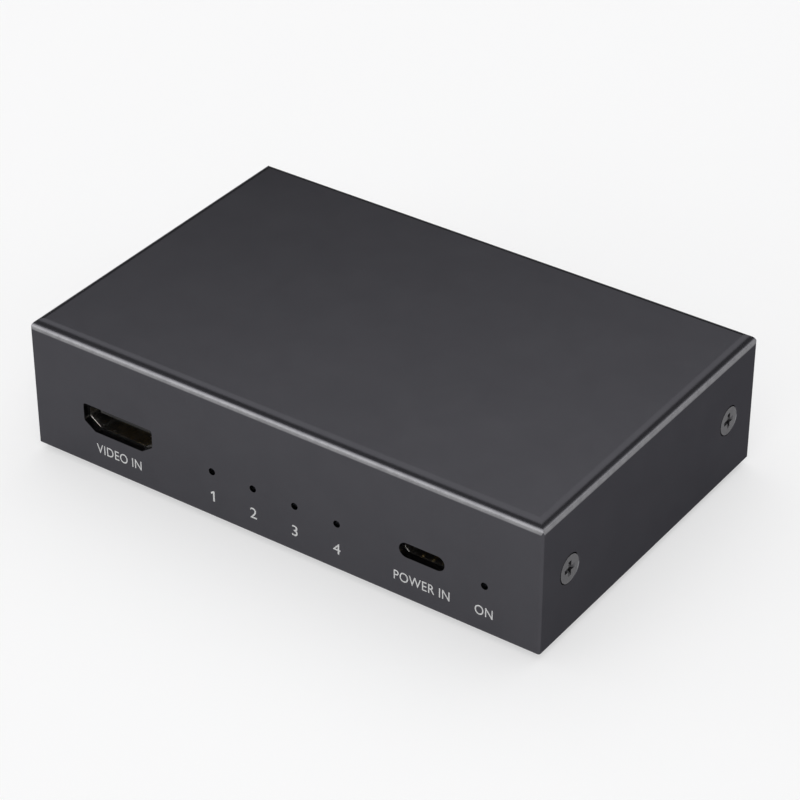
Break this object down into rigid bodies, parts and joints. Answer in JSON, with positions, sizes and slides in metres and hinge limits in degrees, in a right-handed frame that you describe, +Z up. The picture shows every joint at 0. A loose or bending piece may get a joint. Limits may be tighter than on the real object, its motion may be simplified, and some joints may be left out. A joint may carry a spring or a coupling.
{
  "type": "video splitter",
  "caption": "Low dark grey metal box with a video input, a power inlet and lights at the front and video outputs at the rear, on rubber feet.",
  "frame": {"origin": "on the ground under the middle of the case, in the plane of the feet", "axes": "+X to the right along the front, +Y from the front to the rear, +Z up"},
  "size_m": [0.1, 0.0646, 0.0257],
  "materials": {
    "case_paint": "fine satin powder coat, dark grey",
    "screw_steel": "dark zinc plate",
    "zinc_steel": "bright zinc plate",
    "socket_nickel": "nickel plate, formed sheet",
    "black_plastic": "moulded, matte",
    "contact_gilt": "gilt",
    "foot_rubber": "moulded rubber",
    "board_laminate": "glass-fibre laminate with green resist",
    "lens_resin": "clear resin",
    "chip_package": "moulded resin",
    "pad_silicone": "soft silicone",
    "bare_aluminium": "bare, extruded or drawn",
    "tan_ceramic": "fired ceramic"
  },
  "bodies": {
    "root": {"top_cover": "case_paint", "base_plate": "case_paint", "clinch_nuts": "zinc_steel", "cover_screws": "screw_steel", "feet": "foot_rubber", "standoffs": "zinc_steel", "main_board": "board_laminate", "board_screws": "zinc_steel", "video_input_shell": "socket_nickel", "video_input_insulator": "black_plastic", "video_input_contacts": "contact_gilt", "video_output_1_shell": "socket_nickel", "video_output_1_insulator": "black_plastic", "video_output_1_contacts": "contact_gilt", "video_output_2_shell": "socket_nickel", "video_output_2_insulator": "black_plastic", "video_output_2_contacts": "contact_gilt", "video_output_3_shell": "socket_nickel", "video_output_3_insulator": "black_plastic", "video_output_3_contacts": "contact_gilt", "video_output_4_shell": "socket_nickel", "video_output_4_insulator": "black_plastic", "video_output_4_contacts": "contact_gilt", "power_inlet_shell": "socket_nickel", "power_inlet_insulator": "black_plastic", "power_inlet_contacts": "contact_gilt", "status_led_1": "lens_resin", "status_led_2": "lens_resin", "status_led_3": "lens_resin", "status_led_4": "lens_resin", "power_led": "lens_resin", "led_holders": "black_plastic", "splitter_chip": "chip_package", "thermal_pad": "pad_silicone", "heat_sink": "bare_aluminium", "control_chip": "chip_package", "regulator_chip": "chip_package", "power_inductor": "chip_package", "clock_crystal": "bare_aluminium", "bulk_capacitors": "bare_aluminium", "protection_arrays": "chip_package", "chip_capacitors": "tan_ceramic"}
  },
  "joints": []
}
